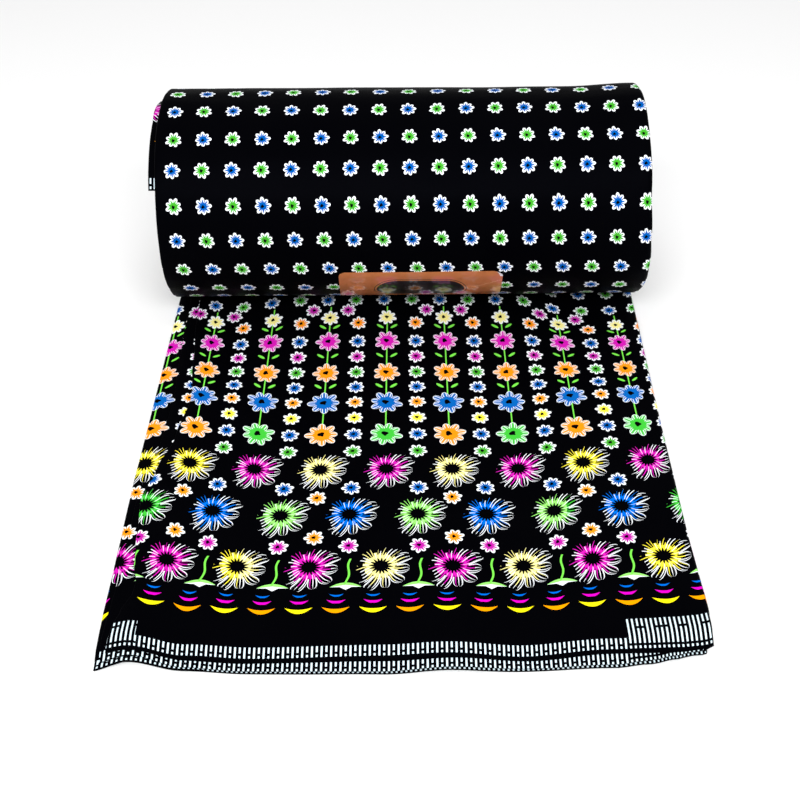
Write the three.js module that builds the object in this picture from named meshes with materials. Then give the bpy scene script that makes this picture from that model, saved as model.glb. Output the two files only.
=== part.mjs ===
// Wax print cloth, six yards long, folded to a flat stack and half rolled up.
// The stack lies flat towards the viewer (the apron) and its far part is rolled
// over itself, so the outside of the roll is the underside of the stack.
// Units are millimetres, +Z is up, +X runs along the folds' width, -Y is the hem side.
// The origin is the centre of the bounding box's base.

import * as THREE from 'three';

// Cloth sizes: four halvings of a six-yard length give sixteen layers
const clothLength = 5486;
const layerCount = 16;
const foldWidth = clothLength / layerCount;
const layerPitch = 0.45;
const stackHeight = layerCount * layerPitch;
const seamGap = 0.3;

// The roll: a spiral about a level axis, angles in degrees from the resting line,
// going back, up, over the top and down the front
const rollAxisHeight = 82.4;
const rollRadius = rollAxisHeight - stackHeight - seamGap;
const tighteningEnds = 200;
const turnStep = 9;
const outerTurnEnd = 360;
const innerTurnEnd = 612;
const rollSkew = 5.5;
const rollNarrowing = { left: 3, right: 8, easedOver: 130 };
const innerTurnDrift = 7;
const endGap = 0.3;

// The apron: from the roll's resting line to the foremost line of the hem
const apronLength = 365;
const apronSteps = 13;
const apronStepGrowth = 1.7;
const acrossSpans = 36;
const acrossGrowth = 1.5;
const foldBends = [30, 60, 90, 120, 150];
const hemLiftReach = 90;
const fanning = { lower: 1, middle: 1.12, upper: 1.24 };

// Heights of the three groups of layers in the stack, measured from its underside
const groupHeights = {
  lower: { from: 0, to: 8 * layerPitch - seamGap / 2 },
  middle: { from: 8 * layerPitch + seamGap / 2, to: 12 * layerPitch - seamGap / 2 },
  upper: { from: 12 * layerPitch + seamGap / 2, to: stackHeight },
};

// Hem, a row for each bend: place across, how far each group stops short of the
// foremost line, and how far the hem lifts off the surface
const hemColumns = ['across', 'lower', 'middle', 'upper', 'lift'];
const hemRows = [
  [-172, 2.5, 6.0, 10.0, 0.0],
  [-153, 6.5, 10.0, 14.0, 3.0],
  [-122, 2.5, 5.0, 7.0, 0.4],
  [-88, 0.5, 3.5, 5.0, 0.0],
  [-14, 0.5, 4.0, 6.5, 0.0],
  [24, 1.8, 5.0, 7.0, 2.6],
  [62, 2.2, 5.0, 6.5, 0.0],
  [112, 4.0, 6.5, 7.5, 0.6],
  [172, 10.5, 11.5, 12.5, 2.4],
];

// Left edges, a row for each bend: distance from the roll's resting line, and how
// far the middle and upper groups stop short of the lower group's fold
const edgeColumns = ['fromRoll', 'middle', 'upper'];
const edgeRows = [
  [0, 9.0, 16.0],
  [54, 9.5, 17.5],
  [98, 11.0, 21.0],
  [142, 13.0, 25.0],
  [184, 11.0, 20.0],
  [217, 6.0, 12.5],
  [260, 4.0, 8.0],
  [320, 3.5, 7.0],
  [365, 3.0, 6.0],
];

// The sticker on the front of the roll
const label = {
  width: 114,
  centreX: 10,
  height: 45,
  topAngle: 284,
  thickness: 0.5,
  cornerRadius: 4,
  peelWidth: 15,
  peelDepth: 7,
};

const blackCotton = { color: 0x0b0b10, roughness: 0.62, metalness: 0 };
const copperFoil = { color: 0xb0693f, roughness: 0.3, metalness: 0.9 };

function smooth(t) {
  const k = THREE.MathUtils.clamp(t, 0, 1);
  return k * k * (3 - 2 * k);
}

// Reads one column of a table, easing from row to row
function tableValue(columns, rows, name, place) {
  const column = columns.indexOf(name);
  if (place <= rows[0][0]) return rows[0][column];
  for (let row = 1; row < rows.length; row += 1) {
    const before = rows[row - 1];
    const after = rows[row];
    if (place <= after[0]) {
      const t = smooth((place - before[0]) / (after[0] - before[0]));
      return before[column] + (after[column] - before[column]) * t;
    }
  }
  return rows[rows.length - 1][column];
}

function outerRadius(angle) {
  if (angle >= outerTurnEnd) return outerRadius(angle - outerTurnEnd) - stackHeight - seamGap;
  return rollRadius + (rollAxisHeight - rollRadius) * (1 - smooth(angle / tighteningEnds));
}

function skewAt(x) {
  return rollSkew * (x / foldWidth);
}

// A point of the roll at an angle and a depth under its outer face
function rollPoint(x, angle, depth) {
  const radius = outerRadius(angle) - depth;
  const turn = THREE.MathUtils.degToRad(angle);
  return new THREE.Vector3(
    x,
    skewAt(x) + radius * Math.sin(turn),
    rollAxisHeight - radius * Math.cos(turn),
  );
}

function hemLift(x, fromHem, group) {
  const lift = tableValue(hemColumns, hemRows, 'lift', x) * fanning[group];
  return lift * (1 - smooth(fromHem / hemLiftReach));
}

// A point of the apron at a share of the way from the roll's resting line to the
// group's own hem, and a height over the stack's underside
function apronPoint(x, share, height, group) {
  const setBack = tableValue(hemColumns, hemRows, group, x);
  const start = skewAt(x) - endGap / 2;
  const hem = setBack - apronLength;
  const y = start + (hem - start) * share;
  return new THREE.Vector3(x, y, height + hemLift(x, y + apronLength, group));
}

// Triangles that fill a group's end, upright between its underside and its top, so
// that the end follows the hem's bends
function hemTriangles(pointCount) {
  const topStart = acrossSpans + foldBends.length + 1;
  const triangles = [];
  for (let i = 0; i < acrossSpans; i += 1) {
    const below = acrossSpans - i;
    const above = topStart + i;
    triangles.push([below - 1, below, above], [below - 1, above, above + 1]);
  }
  for (let i = acrossSpans + 1; i < topStart; i += 1) {
    triangles.push([acrossSpans, i, i + 1]);
  }
  for (let i = topStart + acrossSpans; i < pointCount - 1; i += 1) {
    triangles.push([0, i, i + 1]);
  }
  return triangles;
}

// The rounded right-hand fold goes round all sixteen layers at once
function rightFoldInset(height) {
  const radius = stackHeight / 2;
  const off = Math.min(Math.abs(height - radius), radius);
  return radius - Math.sqrt(radius * radius - off * off);
}

// Section of one group of layers, a closed loop from the lower right, with a round
// fold on the left and its share of the big fold on the right
function groupSection(group, leftX, rightX) {
  const { from, to } = groupHeights[group];
  const radius = (to - from) / 2;
  const middle = (from + to) / 2;
  const points = [];
  for (let i = acrossSpans; i >= 0; i -= 1) {
    const t = (i / acrossSpans) ** acrossGrowth;
    const x = THREE.MathUtils.lerp(leftX + radius, rightX - rightFoldInset(from), t);
    points.push([x, from]);
  }
  for (const bend of foldBends) {
    const turn = THREE.MathUtils.degToRad(bend);
    points.push([leftX + radius - radius * Math.sin(turn), middle - radius * Math.cos(turn)]);
  }
  for (let i = 0; i <= acrossSpans; i += 1) {
    const t = (i / acrossSpans) ** acrossGrowth;
    const x = THREE.MathUtils.lerp(leftX + radius, rightX - rightFoldInset(to), t);
    points.push([x, to]);
  }
  const edgePoints = Math.max(1, Math.round(to - from));
  for (let i = 1; i <= edgePoints; i += 1) {
    const height = to + ((from - to) * i) / (edgePoints + 1);
    points.push([rightX - rightFoldInset(height), height]);
  }
  return points;
}

// Section of the whole stack as one rounded solid, stepped into its three groups
// on the left. Depth is measured from the roll's outer face.
function stackSection(leftX, middleInset, upperInset, rightX) {
  const rows = [
    { x: leftX, from: 0, to: 8 * layerPitch },
    { x: leftX + middleInset, from: 8 * layerPitch, to: 12 * layerPitch },
    { x: leftX + upperInset, from: 12 * layerPitch, to: stackHeight },
  ];
  const points = [];
  for (const row of rows) {
    const radius = (row.to - row.from) / 2;
    const middle = (row.from + row.to) / 2;
    for (const bend of [0, 45, 90, 135, 180]) {
      const turn = THREE.MathUtils.degToRad(bend);
      points.push([row.x + radius - radius * Math.sin(turn), middle - radius * Math.cos(turn)]);
    }
  }
  for (const bend of [0, 45, 90, 135, 180]) {
    const radius = stackHeight / 2;
    const turn = THREE.MathUtils.degToRad(bend);
    points.push([rightX - radius + radius * Math.sin(turn), radius + radius * Math.cos(turn)]);
  }
  return points;
}

// Joins equal rings of points into one closed body with a flat end at each side
function loft(rings, endTriangles) {
  const size = rings[0].length;
  const positions = [];
  for (const ring of rings) {
    for (const point of ring) positions.push(point.x, point.y, point.z);
  }
  const index = [];
  for (let row = 0; row < rings.length - 1; row += 1) {
    for (let i = 0; i < size; i += 1) {
      const next = (i + 1) % size;
      const a = row * size + i;
      const b = row * size + next;
      index.push(a, b, b + size, a, b + size, a + size);
    }
  }
  const last = (rings.length - 1) * size;
  for (const [a, b, c] of endTriangles) {
    index.push(a, c, b);
    index.push(last + a, last + b, last + c);
  }
  const geometry = new THREE.BufferGeometry();
  geometry.setAttribute('position', new THREE.Float32BufferAttribute(positions, 3));
  geometry.setIndex(outwards(positions, index));
  geometry.computeVertexNormals();
  return geometry;
}

// Turns all faces round if the body's signed volume is negative
function outwards(positions, index) {
  const corner = (i) => new THREE.Vector3().fromArray(positions, 3 * i);
  let volume = 0;
  for (let i = 0; i < index.length; i += 3) {
    const cross = corner(index[i + 1]).cross(corner(index[i + 2]));
    volume += corner(index[i]).dot(cross);
  }
  if (volume > 0) return index;
  const turned = [];
  for (let i = 0; i < index.length; i += 3) {
    turned.push(index[i], index[i + 2], index[i + 1]);
  }
  return turned;
}

// Triangles that fill a section, numbered as the loft's end rings are
function capTriangles(section) {
  const outline = section.map(([x, y]) => new THREE.Vector2(x, y));
  if (!THREE.ShapeUtils.isClockWise(outline)) {
    return THREE.ShapeUtils.triangulateShape(outline, []);
  }
  const last = outline.length - 1;
  const faces = THREE.ShapeUtils.triangulateShape(outline.reverse(), []);
  return faces.map(([a, b, c]) => [last - c, last - b, last - a]);
}

function namedMesh(name, geometry, finish) {
  const mesh = new THREE.Mesh(geometry, new THREE.MeshStandardMaterial(finish));
  mesh.name = name;
  return mesh;
}

// One group of layers of the apron, rings running from the roll to the hem
function apronGroup(group) {
  const rings = [];
  let section = [];
  for (let step = apronSteps; step >= 0; step -= 1) {
    const share = 1 - (step / apronSteps) ** apronStepGrowth;
    const fromRoll = share * apronLength;
    const inset = group === 'lower' ? 0 : tableValue(edgeColumns, edgeRows, group, fromRoll);
    section = groupSection(group, -foldWidth / 2 + inset, foldWidth / 2);
    rings.push(section.map(([x, height]) => apronPoint(x, share, height, group)));
  }
  return namedMesh(`apron_${group}_layers`, loft(rings, hemTriangles(section.length)), blackCotton);
}

// The outer turn's edges draw in a little where it goes up and over
function narrowingAt(angle) {
  const fromStart = smooth(angle / rollNarrowing.easedOver);
  const fromEnd = smooth((outerTurnEnd - angle) / rollNarrowing.easedOver);
  return fromStart * fromEnd;
}

// One turn of the roll between two angles
function rollTurn(name, fromAngle, toAngle) {
  const steps = Math.round((toAngle - fromAngle) / turnStep);
  const [, middleInset, upperInset] = edgeRows[0];
  const endAngleGap = THREE.MathUtils.radToDeg(endGap / 2 / rollRadius);
  const rings = [];
  let section = [];
  for (let step = 0; step <= steps; step += 1) {
    const angle = fromAngle + step * turnStep;
    const drift = innerTurnDrift * smooth((angle - outerTurnEnd) / (innerTurnEnd - outerTurnEnd));
    const narrowing = narrowingAt(angle);
    const left = -foldWidth / 2 + rollNarrowing.left * narrowing - drift;
    const right = foldWidth / 2 - rollNarrowing.right * narrowing - drift;
    section = stackSection(left, middleInset, upperInset, right);
    let exact = angle;
    if (step === 0) exact = angle + endAngleGap;
    if (step === steps) exact = angle - endAngleGap;
    rings.push(section.map(([x, depth]) => rollPoint(x, exact, depth)));
  }
  return namedMesh(name, loft(rings, capTriangles(section)), blackCotton);
}

// How far a round corner draws an edge in, at a distance from the corner's end
function cornerInset(distance) {
  const radius = label.cornerRadius;
  const off = Math.max(0, radius - distance);
  return radius - Math.sqrt(radius * radius - off * off);
}

// The sticker: a thin plate bent to the roll, its upper right corner lifted and gone
function stickerBody() {
  const { width, height, centreX, cornerRadius, thickness, peelWidth, peelDepth } = label;
  const radius = rollRadius + seamGap;
  const downs = [0, 0.3 * cornerRadius, cornerRadius];
  for (let down = peelDepth; down < height - cornerRadius; down += peelDepth) downs.push(down);
  downs.push(height - cornerRadius, height - 0.3 * cornerRadius, height);
  const rings = downs.map((down) => {
    const corner = cornerInset(Math.min(down, height - down));
    const peeled = peelWidth * Math.max(0, 1 - down / peelDepth);
    const left = centreX - width / 2 + corner;
    const right = centreX + width / 2 - Math.max(corner, peeled);
    const angle = label.topAngle + THREE.MathUtils.radToDeg(down / radius);
    const under = outerRadius(angle) - radius;
    const over = under - thickness;
    return [
      rollPoint(left, angle, under),
      rollPoint(right, angle, under),
      rollPoint(right, angle, over),
      rollPoint(left, angle, over),
    ];
  });
  return loft(rings, [[0, 1, 2], [0, 2, 3]]);
}

const group = new THREE.Group();
group.add(apronGroup('lower'), apronGroup('middle'), apronGroup('upper'));
group.add(rollTurn('roll_outer_turn', 0, outerTurnEnd));
group.add(rollTurn('roll_inner_turn', outerTurnEnd, innerTurnEnd));
group.add(namedMesh('label', stickerBody(), copperFoil));

// The origin goes to the centre of the bounding box's base
const bounds = new THREE.Box3().setFromObject(group, true);
const centre = bounds.getCenter(new THREE.Vector3());
group.position.set(-centre.x, -centre.y, -bounds.min.z);

export default group;
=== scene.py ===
from functools import partialmethod
import math
import bpy
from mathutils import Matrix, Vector, noise


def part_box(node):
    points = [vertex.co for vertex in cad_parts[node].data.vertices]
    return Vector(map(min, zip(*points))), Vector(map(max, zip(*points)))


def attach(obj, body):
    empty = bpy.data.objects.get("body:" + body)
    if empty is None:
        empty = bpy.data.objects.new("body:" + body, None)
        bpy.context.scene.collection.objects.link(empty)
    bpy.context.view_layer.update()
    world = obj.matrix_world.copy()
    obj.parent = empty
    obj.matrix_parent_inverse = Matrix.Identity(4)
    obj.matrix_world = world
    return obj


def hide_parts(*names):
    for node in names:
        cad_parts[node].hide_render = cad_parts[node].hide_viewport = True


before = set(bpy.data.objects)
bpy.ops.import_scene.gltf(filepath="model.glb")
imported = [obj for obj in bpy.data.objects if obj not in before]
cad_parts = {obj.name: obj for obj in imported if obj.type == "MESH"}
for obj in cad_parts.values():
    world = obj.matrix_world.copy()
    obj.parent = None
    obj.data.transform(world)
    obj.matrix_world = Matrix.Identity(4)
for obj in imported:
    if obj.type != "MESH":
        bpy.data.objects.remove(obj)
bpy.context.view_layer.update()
mm = 0.001

# Lengths below are in millimetres, as in the solids, and turn to metres at each vertex
stack = {
    "foldWidth": 5486 / 16,
    "height": 7.2,
    "layerPitch": 0.45,
    "clothWidth": 1118,
    "clothThickness": 0.26,
}
roll = {
    "axisHeight": 82.4,
    "radius": 74.9,
    "turnGap": 7.5,
    "tightensUntil": 200,
    "innerEnd": 596,
    "skew": 5.5,
    "innerNarrow": 12,
    "endBand": 28,
    "ridges": 0.9,
    "tuck": 2.7,
    "flare": 2.2,
}
apron = {
    "length": 365,
    "liftReach": 90,
    "endGap": 0.15,
    "hemLength": 45,
    "meanSetBack": 6,
    "hiddenRecess": 3.0,
    "rows": 58,
    "hemRows": 7,
    "thinnest": 0.32,
    "thinReach": 17,
}
fanning = {"lower": 1.0, "middle": 1.12, "upper": 1.24}
# Heights in the stack where the middle and the upper layers take over, and how softly
takeOver = {"middle": 3.3, "between": 4.35, "upper": 5.1, "topPrint": 5.4, "ease": 0.6}
# How far the cut ends in the middle step stop short, by layer
cutSetBacks = {7: 1.2, 8: 1.9}
# How far each group's cloth runs in under the one above it
tuckedIn = {"upper": 12, "middle": 14, "cutEnds": 18, "lower": 60}
# How far the print is moved across on each stretch of cloth
printShifts = {"middle": 29.2, "lower": 29.8, "innerTurn": 38.0}
# Bends of the hem: how far each group stops short of the foremost line, and the lift
hemRows = {
    "place": (-172, -153, -122, -88, -14, 24, 62, 112, 131, 148, 162, 172),
    "lower": (2.5, 6.5, 2.5, 0.5, 0.5, 1.8, 2.2, 4.2, 6.5, 9.2, 11.5, 12.5),
    "middle": (6.0, 9.5, 3.4, 1.0, 1.0, 2.3, 2.7, 4.8, 7.2, 10.0, 12.4, 14.0),
    "upper": (10.5, 12.3, 7.6, 5.8, 7.2, 7.6, 7.2, 11.5, 12.0, 12.8, 14.0, 17.5),
    "lift": (0.0, 3.0, 0.4, 0.0, 0.0, 2.6, 0.0, 0.6, 1.2, 1.8, 2.2, 2.4),
}
# Left edges: how far the groups stop short, by the distance from the roll's resting line,
# and how far the right folds do
edgeRows = {
    "place": (0, 54, 98, 142, 184, 217, 242, 275, 301, 315, 325, 337, 350, 365),
    "lower": (0, -0.3, -0.6, -0.9, -1.2, -1.6, -1.4, -1.0, -0.8, -0.8, -0.8, -0.5, -0.1, 0.8),
    "middle": (9.0, 9.5, 11.0, 13.0, 11.0, 6.0, 4.0, 4.5, 4.2, 4.0, 3.6, 3.0, 2.8, 3.5),
    "upper": (16.0, 17.5, 21.0, 25.0, 20.0, 12.5, 7.0, 9.5, 12.0, 15.5, 15.0, 10.5, 7.2, 6.5),
    "right": (0, 0.6, 1.2, 1.8, 2.2, 2.4, 2.6, 2.7, 2.3, 2.2, 2.0, 2.0, 2.4, 3.0),
}
# How far the roll's ends pull in by its angle, and how far its inner turn drifts out
rollRows = {
    "place": (0, 60, 130, 200, 240, 262, 278, 300, 330, 360, 450, 530, 560, 596),
    "left": (0, 1.5, 3.0, 3.0, 3.7, 3.6, 3.4, 3.3, 2.0, 0, -1.5, -3.4, -2.4, -2.2),
    "right": (0, 3.7, 7.2, 7.2, 6.8, 4.8, 3.0, 1.5, 0.7, 0, 0, 0, 0, 0),
}
# How far the print has slipped towards the hem, by the distance from the hem
slipRows = {
    "place": (20, 60, 105, 147, 185, 216, 245, 275, 300, 330),
    "left": (0, 1.9, 3.0, 3.2, 4.0, 4.6, 0.0, -5.2, -9.0, -12.0),
    "right": (0, 2.8, 2.4, 2.8, 3.9, 4.0, -1.2, -7.5, -16.0, -22.0),
    "under": (0, 12.5, 13.5, 14.0, 16.0, 12.5, 8.0, 4.0, 0.0, 0.0),
}

lowBox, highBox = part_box("apron_lower_layers")
shiftX = (lowBox[0] + highBox[0]) / 2 / mm
shiftY = highBox[1] / mm - roll["skew"] / 2 + apron["endGap"]
print("frame read, the stack's middle line is at", round(shiftX, 2), round(shiftY, 2))


def smooth(t):
    k = min(1.0, max(0.0, t))
    return k * k * (3 - 2 * k)


def easedValue(table, name, place):
    places, values = table["place"], table[name]
    if place <= places[0]:
        return values[0]
    for i in range(1, len(places)):
        if place <= places[i]:
            t = smooth((place - places[i - 1]) / (places[i] - places[i - 1]))
            return values[i - 1] + (values[i] - values[i - 1]) * t
    return values[-1]


def layerHeight(layer):
    return stack["height"] - (layer - 0.5) * stack["layerPitch"]


# A value of the three groups of layers, eased from one to the next by height
def byHeight(lower, middle, upper, height):
    if height < takeOver["between"]:
        share = smooth((height - takeOver["middle"]) / takeOver["ease"])
        return lower + (middle - lower) * share
    return middle + (upper - middle) * smooth((height - takeOver["upper"]) / takeOver["ease"])


def leftEdge(group, fromRoll):
    return easedValue(edgeRows, group, fromRoll) - stack["foldWidth"] / 2


def rightEdge(fromRoll):
    return stack["foldWidth"] / 2 - easedValue(edgeRows, "right", fromRoll)


def skewAt(x):
    return roll["skew"] * x / stack["foldWidth"]


def outerRadius(angle):
    if angle >= 360:
        return outerRadius(angle - 360) - roll["turnGap"]
    slack = roll["axisHeight"] - roll["radius"]
    # The roll is tucked in a little at the front, just above the apron
    tuck = roll["tuck"] * max(0.0, 1 - ((angle - 320) / 40) ** 2) ** 2
    return roll["radius"] + slack * (1 - smooth(angle / roll["tightensUntil"])) - tuck


def waveAt(x, y, z=0.0):
    return noise.noise(Vector((x, y, z)))


# Soft ridges along the roll, the same for every layer so that none cuts another
def rollRidge(x, angle):
    around = angle % 360
    held = smooth(around / 60) * smooth((360 - around) / 60)
    slow = waveAt(x / 90, around / 17, 3.1)
    fine = waveAt(x / 45, around / 7, 8.3)
    return roll["ridges"] * held * (0.8 * slow + 0.35 * fine)


def rollPlace(x, depth, angle):
    radius = outerRadius(angle) - depth + rollRidge(x, angle)
    # The right end stands up a little at the top
    top = max(0.0, 1 - ((angle % 360 - 165) / 42) ** 2) ** 2
    radius += roll["flare"] * smooth((x - 115) / 45) * top
    turn = math.radians(angle)
    y = skewAt(x) + radius * math.sin(turn)
    z = roll["axisHeight"] - radius * math.cos(turn)
    return x, y, z


def rollEdges(angle):
    half = stack["foldWidth"] / 2
    right = half - easedValue(rollRows, "right", angle)
    right -= roll["innerNarrow"] * smooth((angle - 360) / 100)
    return easedValue(rollRows, "left", angle) - half, right


# Recess: how much farther back the layers under the fifth stop, out of sight
def hemSetBack(x, height, recess=0.0):
    values = [easedValue(hemRows, group, x) for group in ("lower", "middle", "upper")]
    wander = 0.45 * waveAt(x / 37, height * 1.9, 5.5)
    hidden = recess * smooth((takeOver["upper"] - height) / 0.3) * smooth((x + 153) / 20)
    return byHeight(*values, height) + hidden + wander


def hemLift(x, fromHem, height):
    lift = easedValue(hemRows, "lift", x) * byHeight(*fanning.values(), height)
    return lift * (1 - smooth(fromHem / apron["liftReach"]))


# The layers are pressed closer together towards the hem, where fewer of them lie
def pressed(height, fromHem):
    thinnest = apron["thinnest"]
    share = thinnest + (1 - thinnest) * smooth(fromHem / apron["thinReach"])
    return max(0.14, height * share)


# A place on the apron, a share of the way from the roll to its own hem
def apronPlace(x, height, share, recess=0.0):
    start = skewAt(x) - apron["endGap"]
    hem = hemSetBack(x, height, recess) - apron["length"]
    y = start + (hem - start) * share
    fromHem = y + apron["length"]
    base = hemSetBack(x, 0.2)
    z = pressed(height, fromHem - base) + hemLift(x, fromHem, height)
    # The lower layers pull in at the right corner
    slide = 5.5 * smooth((x - 130) / 35) * (1 - smooth((height - 5.2) / 0.6))
    slide = slide * (1 - smooth((fromHem - 8) / 34))
    return x - slide, y, z


# Points (x, height, print place) along a section made of level runs and round folds
def sectionPoints(parts, printStart):
    points = []
    for part in parts:
        if part[0] == "run":
            height, fromX, toX, count = part[1:]
            made = [(fromX + (toX - fromX) * i / count, height) for i in range(count + 1)]
        else:
            centreX, centreZ, radius, fromAngle, toAngle, count = part[1:]
            made = []
            for i in range(count + 1):
                turn = math.radians(fromAngle + (toAngle - fromAngle) * i / count)
                made.append((centreX + radius * math.cos(turn), centreZ + radius * math.sin(turn)))
        points += made[1:] if points else made
    along = printStart
    result = []
    for i, (x, height) in enumerate(points):
        if i:
            along += math.dist(points[i - 1], (x, height))
        result.append((x, height, along))
    return result


foldRadius = stack["height"] / 2


def rightFold(right, radius, fromAngle, toAngle, count=6):
    return ("bend", right - foldRadius, foldRadius, radius, fromAngle, toAngle, count)


def leftFold(left, middle, radius, fromAngle=270, toAngle=90, count=8):
    return ("bend", left, middle, radius, fromAngle, toAngle, count)


# Layers 1 to 4 on the left, and the top layer across to the middle of the right fold
def upperSection(left, right, printStart, across=72):
    top, under = layerHeight(1), layerHeight(4)
    radius = (top - under) / 2
    parts = [
        ("run", under, left + tuckedIn["upper"], left + radius, 3),
        leftFold(left + radius, (top + under) / 2, radius),
        ("run", top, left + radius, right - foldRadius, across),
        rightFold(right, top - foldRadius, 90, 0),
    ]
    return sectionPoints(parts, printStart)


# The fold of layers 5 and 6, a strip of cloth that shows on the left
def middleSection(left, printStart):
    top, under = layerHeight(5), layerHeight(6)
    radius = (top - under) / 2
    parts = [
        ("run", under, left + tuckedIn["middle"], left + radius, 3),
        leftFold(left + radius, (top + under) / 2, radius),
        ("run", top, left + radius, left + tuckedIn["lower"], 16),
    ]
    return sectionPoints(parts, printStart)


def cutEndSection(layer, left=0):
    run = ("run", layerHeight(layer), left + cutSetBacks[layer], left + tuckedIn["cutEnds"], 4)
    return sectionPoints([run], 4.0 * layer)


# The outermost layer under the stack, its left fold and the strip on top of layer 9
def lowerSection(left, right, printStart, across=72):
    top, under = layerHeight(9), layerHeight(16)
    radius = (top - under) / 2
    parts = [
        rightFold(right, foldRadius - under, 0, -90),
        ("run", under, right - foldRadius, left + radius + under, across),
        leftFold(left + radius + under, (top + under) / 2, radius),
        ("run", top, left + radius + under, left + tuckedIn["lower"], 14),
    ]
    return sectionPoints(parts, printStart)


# The passes of cloth between the outer sheets, in the order in which the cloth runs
def innerSections(lowerLeft, middleLeft, upperLeft, right):
    h = [0] + [layerHeight(layer) for layer in range(1, 17)]
    far = right - foldRadius
    low = lowerLeft + (h[9] - h[16]) / 2 + h[16]
    high = upperLeft + 1.5 * stack["layerPitch"]
    cut = middleLeft + tuckedIn["cutEnds"]

    def goRight(layer, fromX, count):
        return ("run", h[layer], fromX, far, count)

    def goLeft(layer, toX, count):
        return ("run", h[layer], far, toX, count)

    # Round the right fold, downwards from an upper layer or upwards to it
    def turnDown(layer, count):
        return rightFold(right, h[layer] - foldRadius, 90, -90, count)

    def turnUp(layer, count):
        return rightFold(right, h[layer] - foldRadius, -90, 90, count)

    first = [
        goRight(8, cut, 44), turnDown(8, 4),
        goLeft(9, lowerLeft + tuckedIn["lower"], 40),
    ]
    second = [
        goRight(4, upperLeft + tuckedIn["upper"], 46), turnDown(4, 10),
        goLeft(13, low, 48), leftFold(low, 1.8, h[12] - 1.8, 270, 90, 4),
        goRight(12, low, 48), turnUp(5, 8),
        goLeft(5, middleLeft + tuckedIn["lower"], 40),
    ]
    third = [
        goRight(6, middleLeft + tuckedIn["middle"], 46), turnDown(6, 6),
        goLeft(11, low, 48), leftFold(low, 1.8, h[11] - 1.8, 90, 270, 6),
        goRight(14, low, 48), turnUp(3, 10),
        goLeft(3, high, 46), leftFold(high, 6.3, h[2] - 6.3, 270, 90, 4),
        goRight(2, high, 46), turnDown(2, 12),
        goLeft(15, low, 48), leftFold(low, 1.8, h[10] - 1.8, 270, 90, 8),
        goRight(10, low, 48), turnUp(7, 4),
        goLeft(7, cut, 44),
    ]
    starts = (11.0, 60.0, 23.0)
    return [sectionPoints(p, s) for p, s in zip((first, second, third), starts)]


def deselectAll():
    if bpy.context.object and bpy.context.object.mode != "OBJECT":
        bpy.ops.object.mode_set(mode="OBJECT")
    bpy.ops.object.select_all(action="DESELECT")


# A grid laid out by a function, with the print's place in mm in its UV map
def layGrid(name, columns, rows, placeAt):
    deselectAll()
    bpy.ops.mesh.primitive_grid_add(x_subdivisions=columns, y_subdivisions=rows, size=1)
    grid = bpy.context.object
    grid.name = name
    prints = []
    for vertex in grid.data.vertices:
        (x, y, z), printed = placeAt(vertex.co.x + 0.5, vertex.co.y + 0.5)
        vertex.co = [(x + shiftX) * mm, (y + shiftY) * mm, z * mm]
        prints.append(printed)
    layer = grid.data.uv_layers.active
    layer.name = "print"
    for loop in grid.data.loops:
        layer.data[loop.index].uv = prints[loop.vertex_index]
    return grid


# A grid whose rows follow the sections
def layStrip(name, sections, placeOf, printOf):
    columns, rows = len(sections[0]) - 1, len(sections) - 1

    def placeAt(across, up):
        row = round(up * rows)
        x, height, along = sections[row][round(across * columns)]
        place = placeOf(x, height, row)
        return place, printOf(x, height, along, row, place)

    return layGrid(name, columns, rows, placeAt)


# Joins strips to one piece of cloth, gives it its thickness and soft shading
def finishCloth(name, strips, thickness=stack["clothThickness"]):
    deselectAll()
    for strip in strips:
        strip.select_set(True)
    bpy.context.view_layer.objects.active = strips[0]
    if len(strips) > 1:
        bpy.ops.object.join()
    cloth = bpy.context.object
    cloth.name = name
    cloth.data.name = name
    shell = cloth.modifiers.new("thickness", "SOLIDIFY")
    shell.thickness = thickness * mm
    shell.offset = 0
    bpy.ops.object.modifier_apply(modifier=shell.name)
    bpy.ops.object.mode_set(mode="EDIT")
    bpy.ops.mesh.select_all(action="SELECT")
    bpy.ops.mesh.normals_make_consistent(inside=False)
    bpy.ops.object.mode_set(mode="OBJECT")
    bpy.ops.object.shade_smooth_by_angle(angle=math.radians(60))
    return cloth


# Shares from the roll to the hem, closer together towards the hem
def apronShares(rows, fromShare=0.0):
    return [1 - (1 - fromShare) * (1 - i / rows) ** 1.35 for i in range(rows + 1)]


# Distance along the print from the selvedge, for a distance along the cloth
def printAlong(x, distance, height):
    under = easedValue(slipRows, "under", distance)
    if height < takeOver["between"]:
        return distance * (1 + 0.35 * (1 - smooth((distance - 7) / 12))) - under
    if height < takeOver["topPrint"]:
        near = 0.8 + 1.15 * distance
        far = distance - under + 6.5 * smooth(under / 10)
        return near + (far - near) * smooth((distance - 8) / 14)
    late = 1.5 * smooth((distance - 14) / 12) + 1.7 * smooth((distance - 285) / 50)
    left = easedValue(slipRows, "left", distance) * smooth((-x - 80) / 50)
    right = easedValue(slipRows, "right", distance) * smooth((x - 75) / 50)
    hemCurl = 1.6 * (1 - smooth(distance / 6.5))
    return distance - late - left - right - hemCurl


def apronSheet(name, makeSection, shares, printShift=0.0, recess=0.0):
    sections = [makeSection(share * apron["length"]) for share in shares]

    def placeOf(x, height, row):
        return apronPlace(x, height, shares[row], recess)

    def printOf(x, height, along, row, place):
        hem = hemSetBack(x, height, recess) - apron["length"]
        fromSelvedge = printAlong(x, place[1] - hem, height)
        drift = 1.6 * smooth((x - 30) / 80) * smooth((130 - fromSelvedge) / 60)
        drift += 3.2 * smooth((x - 156) / 10) * smooth((fromSelvedge - 120) / 40)
        # The hem's hidden passes keep to the place across, and wind on round the folds
        if recess:
            along = x + (stack["height"] - height) * smooth((x - 166) / 4)
        return along + printShift + drift, fromSelvedge

    return layStrip(name, sections, placeOf, printOf)


shares = apronShares(apron["rows"])


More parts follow.
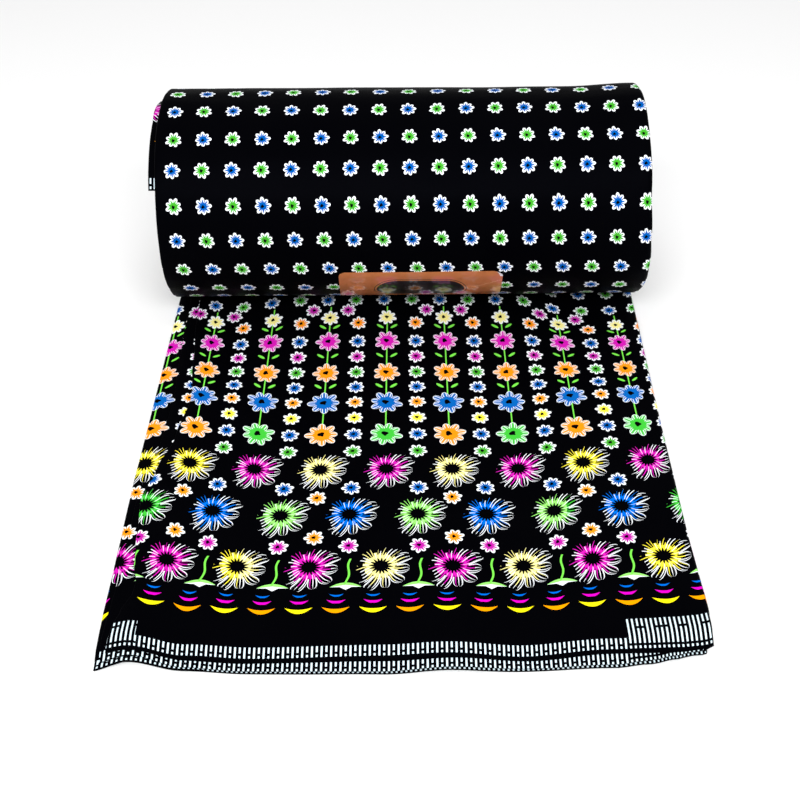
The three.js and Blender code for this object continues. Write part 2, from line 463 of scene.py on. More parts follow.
# Where the print starts under a fold, so that on the top run it follows x
def underFold(left, tuck, radius):
    return left - (tuck - radius) - math.pi * radius + radius


def upperAt(fromRoll):
    left = leftEdge("upper", fromRoll)
    start = underFold(left, tuckedIn["upper"], 1.5 * stack["layerPitch"])
    return upperSection(left, rightEdge(fromRoll), start)


def middleAt(fromRoll):
    left = leftEdge("middle", fromRoll)
    return middleSection(left, underFold(left, tuckedIn["middle"], stack["layerPitch"] / 2))


def lowerAt(fromRoll):
    left = leftEdge("lower", fromRoll)
    section = lowerSection(left, rightEdge(fromRoll), 0)
    slide = section[-1][0] - section[-1][2] + printShifts["lower"]
    return [(x, height, along + slide) for x, height, along in section]


print("laying the apron")
upperCloth = finishCloth("apron_upper_cloth", [apronSheet("upper", upperAt, shares)])
middleStrips = [
    apronSheet("middle", middleAt, shares, printShifts["middle"]),
    apronSheet("cut_end_7", lambda d: cutEndSection(7, leftEdge("middle", d)), shares),
    apronSheet("cut_end_8", lambda d: cutEndSection(8, leftEdge("middle", d)), shares),
]
middleCloth = finishCloth("apron_middle_cloth", middleStrips)
lowerCloth = finishCloth("apron_lower_cloth", [apronSheet("lower", lowerAt, shares)])

hemShares = apronShares(apron["hemRows"], 1 - apron["hemLength"] / apron["length"])


def innerAt(number):
    def section(fromRoll):
        edges = [leftEdge(group, fromRoll) for group in ("lower", "middle", "upper")]
        return innerSections(*edges, rightEdge(fromRoll))[number]
    return section


recess = apron["hiddenRecess"]
hemStrips = [apronSheet(f"hem_{i}", innerAt(i), hemShares, recess=recess) for i in range(3)]
hemCloth = finishCloth("hem_layers", hemStrips)

# Rows of the roll's print: the angle at the row's left end, how much it turns by the
# right end, and how its columns lie
rollPrint = {
    "angle": (170.4, 190.2, 209.9, 226.5, 244.7, 262.9, 281.1, 299.9),
    "tilt": (-3.6, -1.9, -2.6, -2.3, -0.6, -0.4, 0.0, -0.5),
    "left": (-158.4, -157.2, -155.7, -156.1, -155.3, -154.8, -153.2, -152.0),
    "pitch": (20.0, 19.76, 19.71, 19.76, 19.79, 19.82, 20.09, 20.2),
    "columns": 16,
    "rowPitch": 23.9,
    "columnPitch": 20.915,
}


# A straight run between the rows of a table, and on beyond its ends
def rowBetween(places, values, place):
    i = 1
    while i < len(places) - 1 and place > places[i]:
        i += 1
    t = (place - places[i - 1]) / (places[i] - places[i - 1])
    return values[i - 1] + (values[i] - values[i - 1]) * t


def arcLength(angle):
    total, at = 0.0, 0.0
    while at < angle:
        step = min(3.0, angle - at)
        total += math.radians(step) * (outerRadius(at + step / 2) - foldRadius)
        at += step
    return total


def rollSheet(name, makeSection, angles, outside, printShift=0.0):
    sections = [makeSection(angle) for angle in angles]
    lengths = [apron["length"] + arcLength(angle) for angle in angles]
    # The inner turn ends at the other selvedge
    if angles[0] >= 360:
        lengths = [stack["clothWidth"] - lengths[-1] + length for length in lengths]

    def placeOf(x, depth, row):
        return rollPlace(x, depth, angles[row])

    def fieldPlace(x, depth, along, row, place):
        held = min(300.0, max(165.0, angles[row]))
        left, pitch, tilt = [
            rowBetween(rollPrint["angle"], rollPrint[name], held) for name in ("left", "pitch", "tilt")]
        column = (along - left) / pitch
        turned = angles[row] - tilt * column / rollPrint["columns"]
        number = rowBetween(rollPrint["angle"], range(1, 9), turned)
        return column * rollPrint["columnPitch"], number * rollPrint["rowPitch"]

    def borderPlace(x, depth, along, row, place):
        return along + printShift, lengths[row]

    return layStrip(name, sections, placeOf, fieldPlace if outside else borderPlace)


def rollOutside(angle):
    left, right = rollEdges(angle)
    section = lowerSection(left, right, 0)
    # Right to left along the outside, so the print runs with x there
    flat = section[20]
    return [(x, depth, flat[0] - (along - flat[2])) for x, depth, along in section]


def rollMiddle(angle):
    left, right = rollEdges(angle)
    return middleSection(left + edgeRows["middle"][0], left)


def rollInside(angle):
    left, right = rollEdges(angle)
    return upperSection(left + edgeRows["upper"][0], right, left, 48)


def rollInner(number):
    def section(angle):
        left, right = rollEdges(angle)
        middleLeft = left + edgeRows["middle"][0]
        upperLeft = left + edgeRows["upper"][0]
        return innerSections(left, middleLeft, upperLeft, right)[number]
    return section


def angleRange(fromAngle, toAngle, step):
    count = round((toAngle - fromAngle) / step)
    return [fromAngle + (toAngle - fromAngle) * i / count for i in range(count + 1)]


print("laying the roll")
outerAngles = angleRange(0, 360, 3)
innerAngles = angleRange(360, roll["innerEnd"], 3.5)
endAngles = angleRange(roll["innerEnd"] - roll["endBand"], roll["innerEnd"], 7)
rollCloth = finishCloth("roll_outer_cloth", [rollSheet("outside", rollOutside, outerAngles, True)])
liningStrips = [
    rollSheet("inside", rollInside, outerAngles, False),
    rollSheet("step", rollMiddle, outerAngles, False),
]
liningCloth = finishCloth("roll_lining_cloth", liningStrips)
innerStrips = [
    rollSheet("inner_outside", rollOutside, innerAngles, False, printShifts["innerTurn"]),
    rollSheet("inner_inside", rollInside, innerAngles, False),
    rollSheet("inner_step", rollMiddle, innerAngles, False),
]
innerCloth = finishCloth("roll_inner_cloth", innerStrips)
endStrips = [rollSheet(f"end_{i}", rollInner(i), endAngles, False) for i in range(3)]
endCloth = finishCloth("inner_hem_layers", endStrips)


def feed(tree, socket, value):
    if isinstance(value, Wire):
        tree.links.new(value.socket, socket)
    else:
        socket.default_value = value


def feedAll(tree, node, values):
    for name, value in values.items():
        feed(tree, node.inputs[name], value)


# A number or vector socket in a node tree, so that sums can be written plainly
class Wire:
    def __init__(self, tree, socket):
        self.tree, self.socket = tree, socket

    def step(self, operation, *others):
        node = self.tree.nodes.new("ShaderNodeMath")
        node.operation = operation
        for place, value in enumerate((self, *others)):
            feed(self.tree, node.inputs[place], value)
        return Wire(self.tree, node.outputs[0])

    def square(self):
        return self.step("MULTIPLY", self)

    def opposite(self):
        return self.step("MULTIPLY", -1.0) + 1.0

    def odd(self):
        return ((self * 0.5).part() > 0.25)


sums = {
    "__add__": "ADD",
    "__sub__": "SUBTRACT",
    "__mul__": "MULTIPLY",
    "__truediv__": "DIVIDE",
    "__lt__": "LESS_THAN",
    "__gt__": "GREATER_THAN",
    "size": "ABSOLUTE",
    "nearest": "ROUND",
    "wave": "SINE",
    "part": "FRACT",
    "most": "MAXIMUM",
    "least": "MINIMUM",
}
for sumName, operation in sums.items():
    setattr(Wire, sumName, partialmethod(Wire.step, operation))


def farOut(x, y):
    return (x.square() + y.square()).step("SQRT")


def between(wire, low, high):
    return (wire > low) * (wire < high)


# Mixes two values or two colours by a factor
def choose(kind, places, output, given):
    tree = given[0].tree
    node = tree.nodes.new("ShaderNodeMix")
    node.data_type = kind
    for place, value in zip(places, given):
        feed(tree, node.inputs[place], value)
    return Wire(tree, node.outputs[output])


def chooseValue(factor, low, high):
    return choose("FLOAT", (0, 2, 3), 0, (factor, low, high))


def chooseColour(factor, low, high):
    return choose("RGBA", (0, 6, 7), 2, (factor, low, high))


def inkColour(red, green, blue):
    linear = []
    for value in (red, green, blue):
        c = value / 255
        linear.append(c / 12.92 if c <= 0.04045 else ((c + 0.055) / 1.055) ** 2.4)
    return (*linear, 1.0)


inks = {
    "yellow": (252, 236, 62),
    "magenta": (212, 28, 180),
    "purple": (190, 30, 165),
    "orange": (255, 150, 20),
    "blue": (10, 99, 184),
    "green": (66, 196, 60),
    "smallBlue": (2, 86, 170),
    "smallGreen": (66, 168, 42),
    "paleYellow": (252, 242, 150),
    "stem": (120, 226, 78),
    "leaf": (150, 236, 112),
    "white": (244, 248, 252),
    "paleWhite": (214, 232, 240),
    "black": (4, 4, 6),
    "crescentBlue": (0, 108, 222),
    "crescentPink": (232, 8, 198),
    "crescentYellow": (255, 238, 20),
    "crescentOrange": (255, 160, 0),
}
inks = {name: inkColour(*shade) for name, shade in inks.items()}
colourSockets = ("Tint", "Color")


def newGroup(name, inputs, outputs=("Color", "Mask")):
    tree = bpy.data.node_groups.new(name, "ShaderNodeTree")
    for direction, names in (("INPUT", inputs), ("OUTPUT", outputs)):
        for socketName in names:
            kind = "NodeSocketColor" if socketName in colourSockets else "NodeSocketFloat"
            tree.interface.new_socket(socketName, in_out=direction, socket_type=kind)
    start = tree.nodes.new("NodeGroupInput")
    end = tree.nodes.new("NodeGroupOutput")
    wires = {socketName: Wire(tree, start.outputs[socketName]) for socketName in inputs}
    return tree, wires, end


# Values in the order in which the group names its inputs
def putGroup(tree, group, *values):
    node = tree.nodes.new("ShaderNodeGroup")
    node.node_tree = group
    for socket, value in zip(node.inputs, values):
        feed(tree, socket, value)
    return {output.name: Wire(tree, output) for output in node.outputs}


# A flower's place, distance and angle, for a radius of 1
def fromCentre(given):
    x = given["X"] / given["Radius"]
    y = given["Y"] / given["Radius"]
    return x, y, farOut(x, y), y.step("ARCTAN2", x)


# A round flower of eight petals. Body 0 has white petals with coloured streaks, and
# above 0 it tells how full the colour is inside the petals' white rims.
def flowerGroup():
    inputs = ("X", "Y", "Radius", "Body", "Turn", "Tint")
    tree, given, end = newGroup("printed flower", inputs)
    x, y, reach, angle = fromCentre(given)
    spoke = angle * (8 / math.tau) + given["Turn"]
    petal = spoke.nearest()
    off = spoke - petal
    lengthen = (petal * 2.3 + given["Turn"] * 9).wave() * 0.06 + 1.0
    bend = off * (math.tau / 8)
    along = reach * bend.step("COSINE") / lengthen
    aside = (reach * bend.step("SINE")).size()
    leafShape = ((along - 0.65) / 0.35).square() + (aside / 0.242).square()
    mask = (leafShape < 1.0).most(reach < 0.5)
    glow = farOut(x - 0.06, y + 0.05) < 0.34
    streak = (aside < reach * -0.19 + 0.2) * (reach < 0.8)
    seams = (off.size() > 0.38) * (reach < 0.66)
    small = glow.most(streak).most(seams)
    heart = reach < 0.5
    vein = (aside < 0.04) * (reach < 0.88)
    light = ((aside - 0.1).size() < 0.022) * (reach > 0.56)
    inside = (leafShape < 0.8) * light.opposite()
    fade = (reach * -0.22 + 1.14) * given["Body"]
    large = heart.most(vein).most(inside * fade)
    tinted = chooseValue(given["Body"] > 0.05, small, large)
    petals = chooseColour(tinted, inks["white"], given["Tint"])
    eyeSize = (angle * 3 + given["Turn"] * 5).wave() * 0.035 + 0.195
    eye = farOut(x + 0.05, y - 0.05) < eyeSize
    result = chooseColour(eye, petals, inks["black"])
    feedAll(tree, end, {"Color": result, "Mask": mask})
    return tree


# A big flower of brush strokes round a ragged dark middle
def brushFlowerGroup():
    tree, given, end = newGroup("brush stroke flower", ("X", "Y", "Radius", "Tint"))
    x, y, reach, angle = fromCentre(given)
    curl = (reach * 5 + angle * 2).wave() * 0.15
    spoke = angle * (11 / math.tau) + curl + 0.3
    petal = spoke.nearest()
    off = spoke - petal
    chance = ((petal * 12.99).wave() * 437.6).part()
    facing = (angle + 0.75).step("COSINE")
    length = (chance * 0.17 + 0.84) * (facing * 0.1 + 1.0)
    along = reach / length
    arch = ((along - 0.52) / 0.48).square().least(1.0).opposite().step("SQRT") * 0.48 + 0.01
    looped = (facing * 0.9 + 0.3).most(0.1).least(1.0)
    width = chooseValue(looped, 0.47, arch)
    across = off / width
    aside = across.size()
    lineAt = across * 1.5 + chance * 0.5 + 0.25
    stroke = lineAt.step("FLOOR")
    strokeChance = ((stroke * 7.13 + petal * 3.1).wave() * 391.3).part()
    duty = along * -0.7 + 0.77
    ends = strokeChance * -0.34 * looped.opposite() + 1.0
    fromLine = (lineAt.part() - 0.5).size()
    lines = (fromLine * 2 < duty) * (aside < 0.8) * (along < ends)
    rim = between(aside, 0.86, 1.02) * (looped > 0.4) * (reach > 0.5) * (along < 1.0)
    body = reach < strokeChance * 0.16 + 0.42
    ragged = (angle * (16 / math.tau) + 0.2).part() - 0.5
    oval = farOut(x * 0.88, y * 0.98)
    core = ragged.size() * 0.3 + 0.2
    mask = lines.most(body).most(rim) * (oval > core)
    whiteFrom = strokeChance * 0.5 + 0.7
    gleam = (strokeChance > 0.45) * (fromLine < 0.13) * (reach > 0.33)
    whiten = ((reach > whiteFrom) * lines).most(gleam * (aside < 0.8) * (along < ends)).most(rim)
    result = chooseColour(whiten, given["Tint"], inks["white"])
    feedAll(tree, end, {"Color": result, "Mask": mask})
    return tree


flowerTree = flowerGroup()
brushTree = brushFlowerGroup()
printLength = 400.0

# Rows of the border, by distance from the selvedge: where a row's band starts, the
# flowers' centre line, their radius, 1 for a coloured body, and the ink
chainRows = [
    (0, 0, 0, 0, "black"),
    (79, 86.9, 6.0, 0, "orange"),
    (103, 120.4, 6.0, 0, "orange"),
    (130, 0, 0, 0, "black"),
    (166, 179.2, 10.85, 0.93, "orange"),
    (195.2, 211.3, 10.8, 0.97, "blue"),
    (228, 243.7, 9.2, 0.95, "orange"),
    (262, 280.0, 8.95, 0.98, "magenta"),
    (295, 307.9, 6.7, 0, "paleYellow"),
    (319, 0, 0, 0, "black"),
]
betweenRows = [
    (0, 0, 0, 0, "black"),
    (69, 79.8, 6.0, 0, "purple"),
    (90, 0, 0, 0, "black"),
    (118, 128.9, 6.0, 0, "smallBlue"),
    (146, 162.8, 6.0, 0, "smallGreen"),
    (171, 179.2, 6.0, 0, "smallBlue"),
    (187.5, 195.7, 6.0, 0, "yellow"),
    (203.8, 211.9, 6.0, 0, "orange"),
    (219.9, 227.8, 6.0, 0, "smallBlue"),
    (236, 244.2, 6.0, 0, "smallGreen"),
    (253, 261.8, 6.0, 0, "purple"),
    (270.9, 279.9, 6.0, 0, "smallBlue"),
    (290.7, 301.5, 6.0, 0, "orange"),
    (313, 0, 0, 0, "black"),
]
borderPrint = {
    "firstColumn": -139.4,
    "columnPitch": 41.83,
    "fieldRow": 329.6,
    "fieldPitch": 23.9,
    "fieldShift": 0.12,
    "fieldRadius": 5.75,
    "fieldFrom": 319,
    "flankFrom": 304,
    "flankRow": 317,
    "flankOffset": 12.8,
    "bigRows": (146.0, 106.0, 63.6),
    "bigEdges": (125.4, 84.1),
    "bigRadius": 18.6,
    "bigShifts": (0.7, -0.6, -1.7),
    "leafRow": 229.3,
    "leafPitch": 34.05,
    "crescentShift": 0.28,
    "crescentEdges": (35.8, 40.7),
    "tallDashes": ((-165.2, -149.6), (122.5, 180)),
    "dashPitch": 2.62,
}


def stepRamp(tree, wire, stops, length=printLength):
    node = tree.nodes.new("ShaderNodeValToRGB")
    node.color_ramp.interpolation = "CONSTANT"
    feed(tree, node.inputs[0], wire / length)
    elements = node.color_ramp.elements
    while len(elements) < len(stops):
        elements.new(0.5)
    for element in elements:
        element.position = 0.0
    for i, (start, value) in enumerate(stops):
        elements[i].position = start / length
        elements[i].color = (*value[:3], 1.0)
    return Wire(tree, node.outputs[0])


def splitColour(wire):
    node = wire.tree.nodes.new("ShaderNodeSeparateColor")
    feed(wire.tree, node.inputs[0], wire)
    return [Wire(wire.tree, node.outputs[i]) for i in range(3)]


# Centre line, radius, body and ink of the row of flowers at a distance from the selvedge
def rowsAt(tree, distance, rows):
    shapes = [(r[0], (r[1] / printLength, max(r[2], 0.02) / 20, r[3])) for r in rows]
    centre, radius, body = splitColour(stepRamp(tree, distance, shapes))
    tint = stepRamp(tree, distance, [(r[0], inks[r[4]]) for r in rows])
    return centre * printLength, radius * 20, body, tint


def borderGroup():
    tree, given, end = newGroup("border print", ("Across", "Along", "Crescents"))
    across = given["Across"]
    other = given["Along"] * -1.0 + stack["clothWidth"]
    v = given["Along"].least(other)
    pitch = borderPrint["columnPitch"]
    columnAt = (across - borderPrint["firstColumn"]) / pitch
    column = columnAt.nearest()
    fromColumn = (columnAt - column) * pitch
    gapAt = columnAt - 0.5
    gap = gapAt.nearest()
    fromGap = (gapAt - gap) * pitch
    columnOdd = column.odd()
    gapOdd = gap.odd()

    # Flowers of the chains, and the two small ones beside every other chain's top
    centre, radius, body, tint = rowsAt(tree, v, chainRows)
    flank = (v > borderPrint["flankFrom"]) * (fromColumn.size() > 7)
    x = chooseValue(flank, fromColumn, fromColumn.size() - borderPrint["flankOffset"])
    stretch = ((v - 215) / 60).least(1.0).most(0.0) * 0.27 + 1.0
    y = (v - chooseValue(flank, centre, borderPrint["flankRow"])) / stretch
    radius = chooseValue(flank, radius, 6.0)
    tint = chooseColour(flank, tint, inks["purple"])
    greenRow = between(v, 166, 195.2) * columnOdd
    tint = chooseColour(greenRow, tint, inks["green"])
    chain = putGroup(tree, flowerTree, x, y, radius, body, column * 0.37 + 0.2, tint)
    offColumns = (v < 130).most(flank) * columnOdd
    chainMask = chain["Mask"] * offColumns.opposite()

    # Small flowers between the chains, and the field's even rows beyond the border
    centre, radius, body, tint = rowsAt(tree, v, betweenRows)
    field = v > borderPrint["fieldFrom"]
    halfAt = columnAt * 2 + borderPrint["fieldShift"]
    half = halfAt.nearest()
    rowAt = (v - borderPrint["fieldRow"]) / borderPrint["fieldPitch"]
    row = rowAt.nearest()
    fromHalf = (halfAt - half) * (pitch / 2)
    x = chooseValue(field, fromGap, fromHalf)
    fromRow = (rowAt - row) * borderPrint["fieldPitch"]
    y = chooseValue(field, v - centre, fromRow) / stretch
    radius = chooseValue(field, radius, borderPrint["fieldRadius"])
    fieldTint = chooseColour((half + row).odd(), inks["smallBlue"], inks["smallGreen"])
    tint = chooseColour(field, tint, fieldTint)
    smallFlowers = putGroup(tree, flowerTree, x, y, radius, 0.0, gap * 0.29 + 0.35, tint)

    # Three rows of brush stroke flowers
    firstRow, secondRow, thirdRow = borderPrint["bigRows"]
    firstFrom, secondFrom = borderPrint["bigEdges"]
    second = between(v, secondFrom, firstFrom)
    first = v > firstFrom
    firstShift, secondShift, thirdShift = borderPrint["bigShifts"]
    shift = chooseValue(second, chooseValue(first, thirdShift, firstShift), secondShift)
    x = chooseValue(second, fromColumn, fromGap) - shift
    rowCentre = chooseValue(first, thirdRow, firstRow)
    y = v - chooseValue(second, rowCentre, secondRow)
    central = across.size() < 98
    yellow = chooseColour(central, inks["yellow"], inks["paleYellow"])
    green = chooseColour(central, inks["green"], inks["leaf"])
    firstTint = chooseColour(columnOdd, yellow, inks["magenta"])
    thirdTint = chooseColour(columnOdd, inks["magenta"], yellow)
    secondTint = chooseColour(gapOdd, inks["crescentBlue"], green)
    tint = chooseColour(first, thirdTint, firstTint)
    tint = chooseColour(second, tint, secondTint)
    big = putGroup(tree, brushTree, x, y, borderPrint["bigRadius"], tint)

    # Stems, leaf pairs, wavy stems and the pads under them
    stems = (fromColumn.size() < 0.45) * between(v, 180, 321)
    leafAt = (v - borderPrint["leafRow"]) / borderPrint["leafPitch"]
    leafOut = fromColumn.size() - 5.0
    leafUp = (leafAt - leafAt.nearest()) * borderPrint["leafPitch"]
    slope = math.radians(42)
    lengthways = leafOut * math.cos(slope) + leafUp * math.sin(slope)
    crossways = leafUp * math.cos(slope) - leafOut * math.sin(slope)
    leafShape = (lengthways / 3.2).square() + (crossways / 1.15).square()
    leaves = (leafShape < 1) * between(v, 218, 310)
    sway = ((v * 0.36).wave() * 0.8 + (v - 57) * 0.12 - fromGap).size()
    wavy = (sway < 0.62) * between(v, 50, 69.5)
    padX = (fromGap + 0.8).size() / 9.1
    padY = v - 47.9
    padTop = padY < padX.square() * -3.3 + 3.3
    padEnd = padY > (padX * 2.6).least(1.0) * 2.1 - 2.1
    pad = padTop * padEnd * (padX < 1)
    padGreen = padY > padX * -1.5 + 1.5
    green = stems.most(leaves).most(wavy)

    # Crescents, three to a set
    setAt = columnAt * 2 + borderPrint["crescentShift"]
    setNumber = setAt.nearest()
    fromSet = (setAt - setNumber) * (pitch / 2)
    pinkFrom, blueFrom = borderPrint["crescentEdges"]
    stops = [
        (0, (31.2 / 50, 7.85 / 10, 2.8 / 5)),
        (pinkFrom, (37.2 / 50, 5.4 / 10, 1.9 / 5)),
        (blueFrom, (41.8 / 50, 4.15 / 10, 1.25 / 5)),
    ]
    middle, reach, thick = splitColour(stepRamp(tree, v, stops, 50))
    bow = (fromSet / (reach * 10)).square()
    crescentLine = middle * 50 + bow * reach * 10 * 0.38 - reach * 1.1
    thickness = bow.opposite() * thick * 2.6
    crescents = ((v - crescentLine).size() < thickness) * (bow < 1) * between(v, 25, 45.5)
    crescents = crescents * given["Crescents"]
    largeInk = chooseColour(setNumber.odd(), inks["crescentYellow"], inks["crescentOrange"])
    crescentInk = chooseColour(v > pinkFrom, largeInk, inks["crescentPink"])
    crescentInk = chooseColour(v > blueFrom, crescentInk, inks["crescentBlue"])

    # Dashes along the selvedge, taller near both ends
    dashAt = across / borderPrint["dashPitch"]
    dash = dashAt.nearest()
    inDash = (dashAt - dash).size() < 0.2
    longDash = between(v, 0.9, 7.8)
    broken = between(v, 4.2, 7.8).most(between(v, 1.0, 2.6))
    dashes = inDash * chooseValue(dash.odd(), longDash, broken)
    leftEnd, rightEnd = borderPrint["tallDashes"]
    tallZone = between(across, *leftEnd).most(between(across, *rightEnd))
    gaps = chooseValue((dash * 1.31).wave() > 0.2, 1.0, (v - 14.5).size() > 0.8)
    tallTop = chooseValue(across > 0, 17.2, 19.8)
    tall = (between(v, 4.5, tallTop) * gaps).most(between(v, 1.0, 2.8))
    dashes = chooseValue(tallZone, dashes, inDash * tall)

    result = chooseColour(pad * padGreen, inks["white"], inks["leaf"])
    mask = pad
    layers = [
        (green, inks["stem"]),
        (crescents, crescentInk),
        (dashes, inks["paleWhite"]),
        (big["Mask"], big["Color"]),
        (smallFlowers["Mask"], smallFlowers["Color"]),
        (chainMask, chain["Color"]),
    ]
    for shape, ink in layers:
        result = chooseColour(shape, result, ink)
        mask = mask.most(shape)
    feedAll(tree, end, {"Color": result, "Mask": mask})
    return tree


# The plain field of small flowers in even rows, blue and green by turns
def fieldGroup():
    tree, given, end = newGroup("field print", ("Across", "Along"))
    columnAt = given["Across"] / rollPrint["columnPitch"]
    column = columnAt.nearest()
    rowAt = given["Along"] / rollPrint["rowPitch"]
    row = rowAt.nearest()
    odd = (column + row).odd()
    x = (columnAt - column) * rollPrint["columnPitch"]
    y = (rowAt - row) * rollPrint["rowPitch"]
    tint = chooseColour(odd, inks["smallBlue"], inks["smallGreen"])
    flower = (x, y, borderPrint["fieldRadius"], 0.0, odd * 0.4 + 0.1, tint)
    feedAll(tree, end, putGroup(tree, flowerTree, *flower))
    return tree


# Plain weave, as a height from 0 to 1, with threads of uneven thickness
def weaveGroup():
    tree, given, end = newGroup("plain weave", ("Across", "Along", "Thread"), ("Height",))
    warp = (given["Across"] * math.pi / given["Thread"]).wave()
    weft = (given["Along"] * math.pi / given["Thread"]).wave()
    height = warp * weft * 0.5 + 0.5
    feedAll(tree, end, {"Height": height})
    return tree


borderTree = borderGroup()
fieldTree = fieldGroup()
weaveTree = weaveGroup()
print("print drawn")

cottonFinish = {
    "ground": inkColour(1, 1, 3),
    "groundWorn": inkColour(3, 3, 5),
    "roughness": 0.44,
    "specular": 0.006,
    "specularTint": (0.72, 0.8, 1.0, 1.0),
    "thread": 0.36,
    "weaveDepth": 0.04,
    "crinkleDepth": 0.5,
    "bump": 0.6,
    "uneven": 0.16,
    "inkRoughness": 0.08,
}


def noiseNode(coordinates, scale, detail=3.0):
    node = coordinates.tree.nodes.new("ShaderNodeTexNoise")
    feedAll(coordinates.tree, node, {"Vector": coordinates, "Scale": scale, "Detail": detail})
    return Wire(coordinates.tree, node.outputs["Fac"])


def newMaterial(name):
    material = bpy.data.materials.new(name)
    material.use_nodes = True
    tree = material.node_tree
    coordinates = Wire(tree, tree.nodes.new("ShaderNodeTexCoord").outputs["Object"])
    return material, tree, tree.nodes["Principled BSDF"], coordinates


# The place on the print in mm, from the piece's UV map
def printPlace(tree):
    uvMap = tree.nodes.new("ShaderNodeUVMap")
    uvMap.uv_map = "print"
    split = tree.nodes.new("ShaderNodeSeparateXYZ")
    tree.links.new(uvMap.outputs[0], split.inputs[0])
    return Wire(tree, split.outputs[0]), Wire(tree, split.outputs[1])


def printedCotton(name, printTree, *crescents):
    material, tree, shader, coordinates = newMaterial(name)
    across, along = printPlace(tree)
    drawn = putGroup(tree, printTree, across, along, *crescents)
    cloudy = noiseNode(coordinates, 22)
    ground = chooseColour(cloudy, cottonFinish["ground"], cottonFinish["groundWorn"])
    surface = chooseColour(drawn["Mask"], ground, drawn["Color"])
    plain = cottonFinish["roughness"] - cottonFinish["inkRoughness"]
    uneven = noiseNode(coordinates, 900, 2) * cottonFinish["uneven"]
    weave = putGroup(tree, weaveTree, across, along, cottonFinish["thread"])["Height"]
    crinkle = noiseNode(coordinates, 60, 4)
    height = weave * cottonFinish["weaveDepth"] + crinkle * cottonFinish["crinkleDepth"]
    bump = tree.nodes.new("ShaderNodeBump")
    relief = {"Strength": cottonFinish["bump"], "Distance": 1 * mm, "Height": height}
    feedAll(tree, bump, relief)
    look = {
        "Base Color": surface,
        "Roughness": uneven + plain + drawn["Mask"] * cottonFinish["inkRoughness"],
        "Specular IOR Level": cottonFinish["specular"],
        "Specular Tint": cottonFinish["specularTint"],
        "Normal": Wire(tree, bump.outputs[0]),
    }
    feedAll(tree, shader, look)
    return material


borderCotton = printedCotton("border printed cotton", borderTree, 1.0)
stripCotton = printedCotton("strip printed cotton", borderTree, 0.0)
fieldCotton = printedCotton("field printed cotton", fieldTree)


def paint(piece, material):
    piece.data.materials.clear()
    piece.data.materials.append(material)


def dress(piece, material):
    paint(piece, material)
    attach(piece, "root")


for piece in (upperCloth, lowerCloth, hemCloth, liningCloth, innerCloth, endCloth):
    dress(piece, borderCotton)
dress(middleCloth, stripCotton)
dress(rollCloth, fieldCotton)

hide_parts("apron_upper_layers")
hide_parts("apron_middle_layers")
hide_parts("apron_lower_layers")
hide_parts("roll_outer_turn")
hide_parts("roll_inner_turn")


def sectionWidth(*sections):
    return sum(abs(section[-1][2] - section[0][2]) for section in sections) * mm


turnLength = arcLength(360) * mm
innerLength = (arcLength(roll["innerEnd"]) - arcLength(360)) * mm
endLength = (arcLength(roll["innerEnd"]) - arcLength(roll["innerEnd"] - roll["endBand"])) * mm
hemSections = [innerAt(i)(apron["length"]) for i in range(3)]
endSections = [rollInner(i)(roll["innerEnd"]) for i in range(3)]
middleWidth = sectionWidth(middleAt(200), cutEndSection(7), cutEndSection(8))
sectionWidth(upperAt(200))
sectionWidth(lowerAt(200))
sectionWidth(rollOutside(180))
liningWidth = sectionWidth(rollInside(180), rollMiddle(180))
innerWidth = sectionWidth(rollOutside(500), rollInside(500), rollMiddle(500))

# The foil sticker on the front of the roll
sticker = {
    "width": 114,
    "height": 45,
    "middle": 10,
    "topAngle": 284,
    "offSurface": 0.42,
    "thickness": 0.22,
    "corner": 4,
    "peelAcross": 7,
    "peelDown": 5,
    "columns": 76,
    "rows": 30,
    "barHalf": 17,
    "barDown": 24.5,
    "barRadius": 14.0,
    "barLine": (15.3, 15.9),
    "scratch": (122.5, 123.4),
}


def stickerPiece():
    width, height, corner = sticker["width"], sticker["height"], sticker["corner"]

    def placeAt(across, up):
        down = 1 - up
        off = max(0.0, corner - min(down * height, (1 - down) * height))
        inset = corner - math.sqrt(corner * corner - off * off)
        x = inset + (width - 2 * inset) * across
        angle = sticker["topAngle"] + math.degrees(down * height / roll["radius"])
        # The upper right corner is folded over towards the viewer
        beyond = (x - (width - sticker["peelAcross"])) / sticker["peelAcross"]
        beyond = beyond - down * height / sticker["peelDown"]
        curl = max(0.0, beyond)
        lift = sticker["offSurface"] + 1.6 * curl
        place = rollPlace(sticker["middle"] - width / 2 + x - 2 * curl * curl, -lift, angle)
        return place, (x, down * height)

    plate = layGrid("sticker plate", sticker["columns"], sticker["rows"], placeAt)
    return finishCloth("label_sticker", [plate], sticker["thickness"])


foilFinish = {
    "copper": inkColour(226, 140, 84),
    "copperDeep": inkColour(194, 114, 66),
    "scratch": inkColour(235, 180, 140),
    "dark": inkColour(6, 5, 6),
    "backing": inkColour(240, 240, 244),
    "metallic": 0.3,
    "coat": 0.6,
    "coatRoughness": 0.03,
}


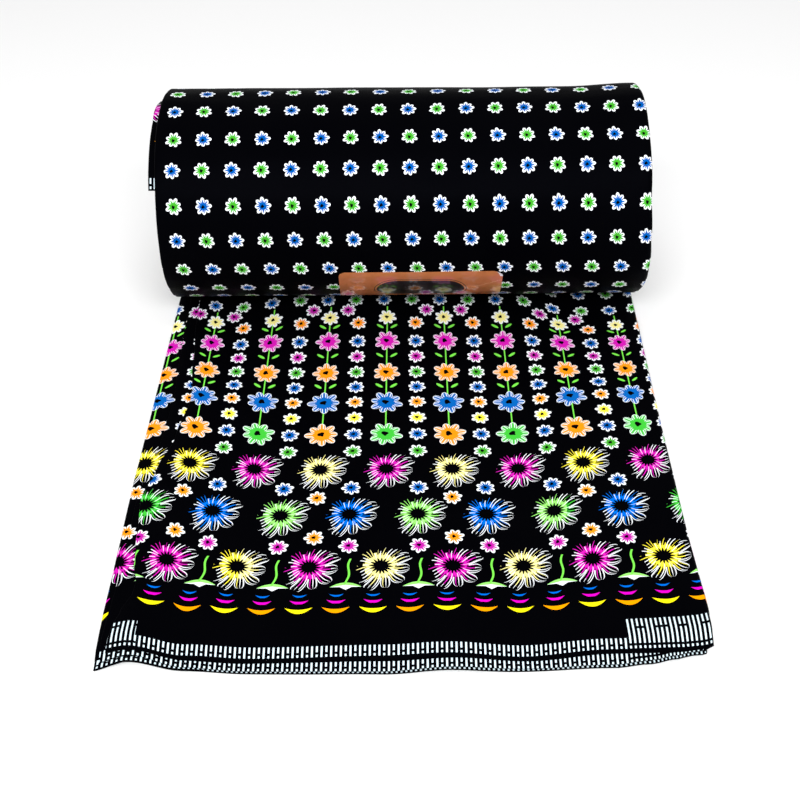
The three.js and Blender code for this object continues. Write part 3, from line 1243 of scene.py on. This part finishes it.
def foilMaterial():
    material, tree, shader, coordinates = newMaterial("copper foil")
    across, down = printPlace(tree)
    cloudy = noiseNode(coordinates, 35)
    metal = chooseColour(cloudy, foilFinish["copper"], foilFinish["copperDeep"])
    scratchAt = noiseNode(coordinates, 300, 2)
    scratches = between(across * 0.9 + down * 1.7 + scratchAt * 6, *sticker["scratch"])
    metal = chooseColour(scratches, metal, foilFinish["scratch"])
    # A plain dark bar with rounded ends, where a sticker usually has its print
    fromMiddle = ((across - sticker["width"] / 2).size() - sticker["barHalf"]).most(0.0)
    barShape = farOut(fromMiddle, down - sticker["barDown"])
    bar = (barShape < sticker["barRadius"]).most(between(barShape, *sticker["barLine"]))
    surface = chooseColour(bar, metal, foilFinish["dark"])
    backing = (across - down * 0.35 > sticker["width"] - 3.6) * (down < 5.5)
    surface = chooseColour(backing, surface, foilFinish["backing"])
    look = {
        "Base Color": surface,
        "Metallic": bar.most(backing).opposite() * foilFinish["metallic"],
        "Coat Weight": foilFinish["coat"],
        "Coat Roughness": foilFinish["coatRoughness"],
        "Roughness": cloudy * 0.15 + 0.3,
    }
    feedAll(tree, shader, look)
    return material


print("making the sticker")
labelSticker = stickerPiece()
paint(labelSticker, foilMaterial())
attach(labelSticker, "root")
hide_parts("label")

# Plain pale floor, studio light and the camera
studio = {"floorSize": 6.0, "world": 0.5}
lights = {
    "key": {"place": (0.0, -1.3, 1.35), "aim": (0.0, 0.1, 0.1), "power": 36, "size": (1.6, 0.5)},
    "top": {"place": (0.0, 0.2, 2.2), "aim": (0.0, 0.2, 0.0), "power": 16, "size": (2.6, 2.6)},
}


def plainMaterial(name, shade, roughness):
    material, tree, shader, coordinates = newMaterial(name)
    faint = noiseNode(coordinates, 2.5)
    pale = chooseColour(faint, shade, tuple(c * 0.985 for c in shade[:3]) + (1.0,))
    look = {"Base Color": pale, "Roughness": roughness, "Specular IOR Level": 0.2}
    feedAll(tree, shader, look)
    return material


deselectAll()
bpy.ops.mesh.primitive_plane_add(size=studio["floorSize"], location=(0, 0, -0.0004))
floor = bpy.context.object
floor.name = "floor"
paint(floor, plainMaterial("pale floor", (0.93, 0.93, 0.93, 1.0), 0.8))


def softLight(name, place, aim, power, size):
    deselectAll()
    bpy.ops.object.light_add(type="AREA", location=place)
    light = bpy.context.object
    light.name = name
    light.data.shape = "RECTANGLE"
    light.data.size, light.data.size_y = size
    light.data.energy = power
    direction = Vector(aim) - Vector(place)
    light.rotation_euler = direction.to_track_quat("-Z", "Y").to_euler()


for lightName, light in lights.items():
    softLight(lightName, **light)

world = bpy.data.worlds.new("studio")
world.use_nodes = True
sky = {"Color": (1.0, 1.0, 1.0, 1.0), "Strength": studio["world"]}
feedAll(world.node_tree, world.node_tree.nodes["Background"], sky)
bpy.context.scene.world = world
bpy.context.scene.view_settings.view_transform = "Standard"

view = {"place": (-0.001, -0.62665, 0.5321), "tilt": 50, "lens": 54.27, "sensor": 36}
deselectAll()
bpy.ops.object.camera_add(location=view["place"], rotation=(math.radians(view["tilt"]), 0, 0))
camera = bpy.context.object
camera.name = "camera"
camera.data.lens = view["lens"]
camera.data.sensor_width = view["sensor"]
bpy.context.scene.camera = camera
print("light and camera set")
